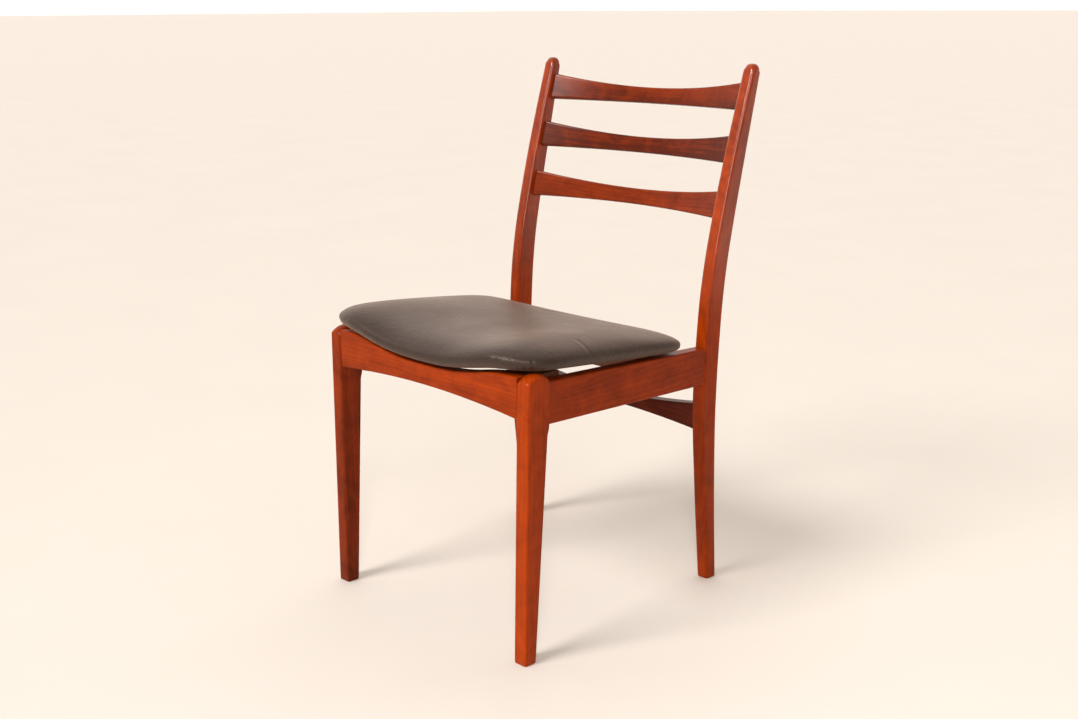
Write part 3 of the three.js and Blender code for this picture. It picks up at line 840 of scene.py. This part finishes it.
class CHAIR_OT_back_slats(bpy.types.Operator):
    """Build the three back slats, bowed backward and waisted in the middle"""

    bl_idname = "chair.back_slats"
    bl_label = "Back slats"

    def execute(self, context):
        sizes = context.scene.chair_slat
        for name, height in SLAT_HEIGHTS.items():
            wooden("back_slat_" + name, *slat_rings(sizes, height))
        return {"FINISHED"}


def slat_rings(sizes, height):
    """Sections of a slat at shares -1..1 between the posts.

    In the slat's own frame, its middle line is a parabola bowed backward and its half height a
    parabola that is narrowest in the middle. The frame leans with the post's front edge.
    """
    share = np.linspace(-1, 1, 81)
    half = (sizes.middle_height + (sizes.end_height - sizes.middle_height) * share**2) / 2
    a, b = rounded(np.full(len(share), sizes.thickness / 2), half, sizes.rounding)
    back = sizes.setback + sizes.thickness / 2 + sizes.bow * (1 - share**2)[:, None] + a
    near = np.argmin(np.abs(FRONT_CURVE[:, 1] - height))
    along = FRONT_CURVE[near + 1] - FRONT_CURVE[near - 1]
    along = along / np.linalg.norm(along)
    y = post_front(height) + back * along[1] + b * along[0]
    z = height - back * along[0] + b * along[1]
    x = share[:, None] * (inner_face(bpy.context.scene.chair_rear_leg, z) - FIT)
    return np.stack([x, y + SHIFT_Y, z], -1), np.stack([x, b + 0 * a, a + 0 * b], -1)


# Seat

SEAT_HALF_WIDTH = 0.226
SEAT_FRONT, SEAT_REAR = -0.255, 0.090  # from the seat frame's middle
SEAT_MIDDLE, SEAT_HALF_DEPTH = (SEAT_REAR + SEAT_FRONT) / 2, (SEAT_REAR - SEAT_FRONT) / 2
FRONT_CORNER, REAR_CORNER = 5.4, 11.2  # exponents of the outline, larger is squarer
SIDE_HEIGHT = (0.4345, 0.402)  # of the middle surface at the sides, in front and at the rear
SIDE_FALL = 1.53  # power by which the sides fall to the rear
DIP, DIP_HALF, DIP_SHAPE = 0.0188, 0.175, 1.4  # depth, half width and power of the front's hollow


def seat_height(x, y):
    """Height of the seat's middle surface, x and y in metres from the seat frame's middle.

    Its sides fall to the rear by a power of the depth, and a raised cosine of |x| is taken away
    from the front edge, less and less towards the rear.
    """
    share = np.clip((y - SEAT_FRONT) / (SEAT_REAR - SEAT_FRONT), 0, 1)
    across = np.minimum(1, np.abs(x) / DIP_HALF) ** DIP_SHAPE
    hollow = DIP * (1 + np.cos(np.pi * across)) / 2 * (1 - share)
    return between(SIDE_HEIGHT, share**SIDE_FALL) - hollow


def superellipse(angle):
    """Point at that angle of an outline of unit half sides, squarer at the rear than in front."""
    x, y = np.cos(angle), np.sin(angle)
    power = np.where(y < 0, FRONT_CORNER, REAR_CORNER)
    size = (np.abs(x) ** power + np.abs(y) ** power) ** (1 / power)
    return x / size, y / size


def outline(count):
    """Evenly spaced points of the seat's outline."""
    angle = np.linspace(0, 2 * np.pi, 4001)
    x, y = superellipse(angle)
    length = np.concatenate([[0], np.cumsum(np.hypot(np.diff(x), np.diff(y)))])
    return superellipse(np.interp(np.arange(count) / count * length[-1], length, angle))


TOP_POWER, BOTTOM_POWER = 5.0, 32.0  # how late the top and the bottom turn down to the rim


def cover_rings(rise, drop, spare, count=200):
    """Rings of the seat cover, from the middle of its top over the rim to that of its bottom.

    A ring is the outline times a share r. Its height above the middle surface is the rise times
    the root of 1 - r to the top power; below it, the drop and the bottom power count instead.
    The outline is larger than the seat's by the spare leather that the stuffing draws in.
    """
    unit_x, unit_y = outline(count)
    near_rim = 1 - 0.15 * np.linspace(1, 0, 24) ** 2
    share = np.concatenate([np.linspace(0.01, 0.84, 26), near_rim])
    top = rise * np.sqrt(1 - share**TOP_POWER)
    bottom = -drop * np.sqrt(1 - share**BOTTOM_POWER)
    offset = np.concatenate([top, bottom[-2::-1]])[:, None]
    ring = np.concatenate([share, share[-2::-1]])[:, None]
    x = unit_x * ring * (SEAT_HALF_WIDTH + spare)
    y = SEAT_MIDDLE + unit_y * ring * (SEAT_HALF_DEPTH + spare)
    return np.stack([x, y + SHIFT_Y, seat_height(x, y) + offset], -1)


def sheet_rings(low, high, inset, count=120):
    """Rings of a thin sheet that follows the seat, from the middle of its top to that of its
    bottom. Offsets low and high are from the seat's middle surface."""
    unit_x, unit_y = outline(count)
    share = np.linspace(0.01, 1, 24)
    ring = np.concatenate([share, share[::-1]])[:, None]
    offset = np.repeat([high, low], len(share))[:, None]
    x = unit_x * ring * (SEAT_HALF_WIDTH - inset)
    y = SEAT_MIDDLE + unit_y * ring * (SEAT_HALF_DEPTH - inset)
    return np.stack([x, y + SHIFT_Y, seat_height(x, y) + offset], -1)


def remeshed(obj, size):
    """Replaces the object's mesh by an even one of that voxel size."""
    change = obj.modifiers.new("even_mesh", "REMESH")
    change.mode = "VOXEL"
    change.voxel_size = size
    change.use_smooth_shade = True
    taken(obj)


def corners(mesh):
    """The places of the mesh's vertices, one row each."""
    points = np.empty(len(mesh.vertices) * 3, np.float32)
    mesh.vertices.foreach_get("co", points)
    return points.reshape(-1, 3).astype(float)


def move_corners(mesh, points):
    """Moves the mesh's vertices to those places."""
    mesh.vertices.foreach_set("co", points.astype(np.float32).ravel())
    mesh.update()


def averaged(mesh, values, rounds):
    """Values of the vertices, each half itself and half the mean of its neighbours, in rounds."""
    ends = np.empty(len(mesh.edges) * 2, np.int32)
    mesh.edges.foreach_get("vertices", ends)
    ends = ends.reshape(-1, 2)
    here = np.concatenate([ends[:, 0], ends[:, 1]])
    there = np.concatenate([ends[:, 1], ends[:, 0]])
    count = len(values)
    number = np.maximum(np.bincount(here, minlength=count), 1)[:, None]
    for _ in range(rounds):
        sums = [np.bincount(here, values[there, k], count) for k in range(3)]
        values = (values + np.stack(sums, 1) / number) / 2
    return values


def inflate(obj, sizes, held):
    """Inflates the closed form as cloth. No point moves further than the cap, and the held
    points stay where they are."""
    scene = bpy.context.scene
    group = obj.vertex_groups.new(name="held")
    group.add(np.flatnonzero(held).tolist(), 1.0, "REPLACE")
    cloth = obj.modifiers.new("inflate", "CLOTH")
    cloth.settings.quality = 6
    cloth.settings.tension_stiffness = 18
    cloth.settings.compression_stiffness = 18
    cloth.settings.bending_stiffness = 6
    cloth.settings.use_pressure = True
    cloth.settings.uniform_pressure_force = sizes.pressure
    cloth.settings.effector_weights.gravity = 0
    cloth.settings.vertex_group_mass = "held"
    cloth.point_cache.frame_start = 1
    cloth.point_cache.frame_end = sizes.steps
    start = corners(obj.data)
    for step in range(1, sizes.steps + 1):
        scene.frame_set(step)
    graph = bpy.context.evaluated_depsgraph_get()
    moved = corners(obj.evaluated_get(graph).data)
    obj.modifiers.clear()
    obj.vertex_groups.clear()
    scene.frame_set(1)
    way = averaged(obj.data, moved - start, sizes.evening)
    far = np.linalg.norm(way, axis=1, keepdims=True)
    capped = start + way * np.minimum(1, sizes.swell / np.maximum(far, 1e-9))
    move_corners(obj.data, capped)


def taken(obj):
    """Replaces the object's mesh by what its modifiers make of it."""
    graph = bpy.context.evaluated_depsgraph_get()
    made = bpy.data.meshes.new_from_object(obj.evaluated_get(graph))
    obj.modifiers.clear()
    old, obj.data = obj.data, made
    bpy.data.meshes.remove(old)


def divide(obj):
    """Halves the spacing of the mesh, with the smooth surface that it stands for."""
    change = obj.modifiers.new("smooth_cover", "SUBSURF")
    change.levels = change.render_levels = 1
    taken(obj)


# Where the cover is gathered: the middle of a corner's round (X, Y) from the seat frame's middle,
# the direction of the corner in degrees, and how far apart its pleats are in degrees.
GATHERS = (
    (0.176, -0.205, -45, 15),
    (-0.176, -0.205, -135, 15),
    (0.196, 0.060, 45, 22),
    (-0.196, 0.060, 135, 22),
)

# Folds in the leather: both ends (X, Y) from the seat frame's middle, and the depth in pleats.
FOLDS = (
    ((-0.032, 0.032), (0.028, 0.064), 1.0),
    ((0.184, -0.115), (0.222, -0.128), 0.9),
    ((-0.150, 0.055), (-0.105, 0.070), 0.6),
)

# Pleats of a corner: the place, counted from its middle one, and the depth in pleats.
PLEATS = ((-2, 0.5), (-1, 0.8), (0, 0.6), (1, 1.0), (2, 0.6))
LONG_PLEAT = 1  # the place of the one that reaches up over the rim
PLEAT_HALF_WIDTH, FOLD_HALF_WIDTH = 2.1 * MM, 2.4 * MM
PLEAT_START = 12 * MM  # how far from the middle of the corner's round the pleats begin
PLEAT_SWEEP = 80  # degrees to either side of the corner that the pleats take up
DEEPEST = 1.2  # pleats


def crease(mesh, sizes):
    """Presses pleats and folds into the cover.

    A pleat is a bell-shaped groove in the direction round the middle of a corner, deepest on the
    lower half of the rim. A fold is such a groove along a line on the top, fading at both ends.
    """
    points = corners(mesh)
    normals = np.empty(len(points) * 3, np.float32)
    mesh.vertex_normals.foreach_get("vector", normals)
    normals = normals.reshape(-1, 3).astype(float)
    x, y = points[:, 0], points[:, 1] - SHIFT_Y
    rise = (points[:, 2] - seat_height(x, y)) / sizes.half_thickness
    depth = np.zeros(len(points))
    for near_x, near_y, toward, apart in GATHERS:
        reach = np.hypot(x - near_x, y - near_y)
        turn = np.degrees(np.arctan2(y - near_y, x - near_x)) - toward
        turn = (turn + 180) % 360 - 180
        for k, weight in PLEATS:
            aside = np.radians(turn - k * apart * (1 + 0.08 * k)) * reach
            groove = np.exp(-((aside / PLEAT_HALF_WIDTH) ** 2)) * (np.abs(turn) < PLEAT_SWEEP)
            high = 0.55 if k == LONG_PLEAT else 0.1
            low = np.clip((high - rise) / 0.6, 0, 1) * np.clip((rise + 1.15) / 0.3, 0, 1)
            depth += weight * groove * low * (reach > PLEAT_START)
    depth = np.minimum(depth, DEEPEST)
    for start, end, weight in FOLDS:
        start, end = np.array(start), np.array(end)
        length = np.linalg.norm(end - start)
        along_x, along_y = (end - start) / length
        along = (x - start[0]) * along_x + (y - start[1]) * along_y
        aside = (y - start[1]) * along_x - (x - start[0]) * along_y
        fade = np.exp(-((2 * along / length - 1) ** 4))
        groove = np.exp(-((aside / FOLD_HALF_WIDTH) ** 2))
        depth += weight * groove * fade * (rise > -0.2)
    move_corners(mesh, points - normals * depth[:, None] * sizes.pleat)


# The part of the cover that lies against the board and is held while the rest is inflated: how
# deep it is, as a share of the depth of the bottom, and how far in from the rim.
HELD_DEPTH, HELD_INSET = 0.45, 0.021


class CHAIR_OT_cushion(bpy.types.Operator):
    """Build the leather cover of the seat and inflate it"""

    bl_idname = "chair.cushion"
    bl_label = "Seat cushion"

    def execute(self, context):
        sizes = context.scene.chair_cushion
        half, slack = sizes.half_thickness, sizes.slack
        spare = sizes.draw_in
        cover = skin("seat_cushion_cover", cover_rings(sizes.rise - slack, half, spare))
        remeshed(cover, sizes.voxel)
        x, y, z = corners(cover.data).T
        y = y - SHIFT_Y
        under = z - seat_height(x, y) < -HELD_DEPTH * half
        inner_x = np.abs(x) < SEAT_HALF_WIDTH - HELD_INSET
        inner_y = np.abs(y - SEAT_MIDDLE) < SEAT_HALF_DEPTH - HELD_INSET
        inflate(cover, sizes, under & inner_x & inner_y)
        divide(cover)
        crease(cover.data, sizes)
        cover.data.polygons.foreach_set("use_smooth", np.ones(len(cover.data.polygons), bool))
        cover.data.materials.clear()
        cover.data.materials.append(material_of(leather))
        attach(cover, "root")
        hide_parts("leather_cover", "foam_pad")
        return {"FINISHED"}


# The dust cloth: how far below the seat's bottom it hangs, its thickness, and how far in from
# the seat's outline it ends.
CLOTH_BELOW, CLOTH_THICKNESS, CLOTH_INSET = 0.6 * MM, 0.8 * MM, 34 * MM


class CHAIR_OT_underside(bpy.types.Operator):
    """Build the dust cloth below the seat and finish the hidden blocks, board, dowels and screws"""

    bl_idname = "chair.underside"
    bl_label = "Underside"

    def execute(self, context):
        top = -context.scene.chair_cushion.half_thickness - CLOTH_BELOW
        rings = sheet_rings(top - CLOTH_THICKNESS, top, CLOTH_INSET)
        cloth = skin("dust_cloth_sheet", rings)
        cloth.data.materials.append(material_of(black_cloth))
        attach(cloth, "root")
        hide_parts("dust_cloth")
        looks = {
            "rear_bearer": beech_across,
            "corner_block": beech_across,
            "seat_board": plywood,
            "dowel_side": beech_along,
            "dowel": beech_across,
            "seat_screw": screw_steel,
            "block_screw": screw_steel,
        }
        for name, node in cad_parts.items():
            start = next((key for key in looks if name.startswith(key)), None)
            if start is not None:
                node.material_slots[0].link = "OBJECT"
                node.material_slots[0].material = material_of(looks[start])
        return {"FINISHED"}


STAIN_LIGHT, STAIN_DARK = (0.20, 0.045, 0.010), (0.11, 0.022, 0.006)


def beech_across():
    """Stained beech with its grain across the chair."""
    return plain_wood("stained_beech_across", STAIN_LIGHT, STAIN_DARK, (0, 0, 0))


def beech_along():
    """Stained beech with its grain from front to rear."""
    return plain_wood("stained_beech_along", STAIN_LIGHT, STAIN_DARK, (0, 0, math.pi / 2))


# ---------------------------------------------------------------------------------- studio


def lamp(name, kind, place, target, power, **settings):
    """A lamp that faces its target and isn't itself seen."""
    light = bpy.data.lights.new(name, kind)
    light.energy = power
    for setting, value in settings.items():
        setattr(light, setting, value)
    made = bpy.data.objects.new(name, light)
    made.location = place
    made.rotation_euler = (Vector(target) - Vector(place)).to_track_quat("-Z", "Y").to_euler()
    made.visible_camera = False
    bpy.context.scene.collection.objects.link(made)


KEY_PLACE = (-0.6, -3.0, 2.9)
FRONT_PLACE, BACK_TOP = (1.75, -1.80, 1.75), (0.0, 0.2, 0.65)  # the front lamp and its target
FLOOR_HALF, FLOOR_LINES = 150, 5  # half its width, and its lines of points each way


def pale_room(sizes):
    """Surroundings as bright as a lit wall behind the chair, to its left, and dimmer in front."""
    world = bpy.data.worlds.new("pale_room")
    world.use_nodes = True
    tree = world.node_tree
    shade = tree.nodes["Background"]
    shade.inputs["Color"].default_value = (1.0, 0.94, 0.88, 1.0)
    way = Wire(tree, None).node("ShaderNodeTexCoord", {}, {}, "Generated")
    back_left = way.axis("Y") - way.axis("X")
    strength = back_left.step(-0.4, 1.1) * (sizes.wall - sizes.room) + sizes.room
    tree.links.new(strength.socket, shade.inputs["Strength"])
    return world


class CHAIR_OT_studio(bpy.types.Operator):
    """Build the pale floor, the soft light and the camera"""

    bl_idname = "chair.studio"
    bl_label = "Studio"

    def execute(self, context):
        scene = context.scene
        sizes = scene.chair_studio
        low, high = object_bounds()
        middle = (low + high) / 2
        across = np.linspace(-FLOOR_HALF, FLOOR_HALF, FLOOR_LINES)
        x, y = np.meshgrid(across, across, indexing="ij")
        points = np.stack([x, y, np.zeros_like(x)], -1).reshape(-1, 3)
        index = np.arange(FLOOR_LINES**2).reshape(FLOOR_LINES, FLOOR_LINES)
        sides = [index[:-1, :-1], index[1:, :-1], index[1:, 1:], index[:-1, 1:]]
        faces = np.stack(sides, -1).reshape(-1, 4)
        mesh = bpy.data.meshes.new("studio_floor")
        mesh.from_pydata(points.tolist(), [], faces.tolist())
        mesh.materials.append(material_of(studio_floor))
        floor = bpy.data.objects.new("studio_floor", mesh)
        scene.collection.objects.link(floor)
        floor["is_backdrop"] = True
        softness = math.radians(24)
        lamp("key_light", "SUN", KEY_PLACE, middle, sizes.key, angle=softness)
        lamp(
            "front_lamp", "AREA", FRONT_PLACE, BACK_TOP, sizes.front,
            shape="RECTANGLE", size=0.3, size_y=1.9,
        )
        scene.world = pale_room(sizes)
        scene.view_settings.view_transform = "Standard"
        data = bpy.data.cameras.new("camera")
        data.lens = sizes.lens
        data.sensor_width = 36
        data.clip_end = 500
        camera = bpy.data.objects.new("camera", data)
        turn = Matrix.Rotation(sizes.turn, 4, "Z")
        tilt = Matrix.Rotation(math.pi / 2 - sizes.tilt, 4, "X")
        roll = Matrix.Rotation(sizes.roll, 4, "Z")
        camera.matrix_world = Matrix.Translation(sizes.camera_place) @ turn @ tilt @ roll
        scene.collection.objects.link(camera)
        scene.camera = camera
        return {"FINISHED"}


# ------------------------------------------------------------------------------- the add-on

OPERATORS = (
    CHAIR_OT_front_legs,
    CHAIR_OT_rear_legs,
    CHAIR_OT_front_rail,
    CHAIR_OT_side_rails,
    CHAIR_OT_rear_rail,
    CHAIR_OT_back_slats,
    CHAIR_OT_cushion,
    CHAIR_OT_underside,
    CHAIR_OT_studio,
)
SIZES = {
    "chair_front_leg": FrontLegSizes,
    "chair_rear_leg": RearLegSizes,
    "chair_rail": RailSizes,
    "chair_slat": SlatSizes,
    "chair_cushion": CushionSizes,
    "chair_finish": FinishColours,
    "chair_studio": StudioSizes,
}


class CHAIR_PT_panel(bpy.types.Panel):
    """Lists the pieces of the chair in the order in which they are built"""

    bl_label = "Chair"
    bl_idname = "CHAIR_PT_panel"
    bl_space_type = "VIEW_3D"
    bl_region_type = "UI"
    bl_category = "Chair"

    def draw(self, context):
        for operator in OPERATORS:
            self.layout.operator(operator.bl_idname)


def register():
    for group in SIZES.values():
        bpy.utils.register_class(group)
    for name, group in SIZES.items():
        setattr(bpy.types.Scene, name, PointerProperty(type=group))
    for operator in OPERATORS:
        bpy.utils.register_class(operator)
    bpy.utils.register_class(CHAIR_PT_panel)


def unregister():
    bpy.utils.unregister_class(CHAIR_PT_panel)
    for operator in reversed(OPERATORS):
        bpy.utils.unregister_class(operator)
    for name, group in reversed(SIZES.items()):
        delattr(bpy.types.Scene, name)
        bpy.utils.unregister_class(group)


def main():
    register()
    bpy.ops.chair.front_legs()
    bpy.ops.chair.rear_legs()
    bpy.ops.chair.front_rail()
    bpy.ops.chair.side_rails()
    bpy.ops.chair.rear_rail()
    bpy.ops.chair.back_slats()
    bpy.ops.chair.cushion()
    bpy.ops.chair.underside()
    bpy.ops.chair.studio()


if __name__ == "__main__":
    main()
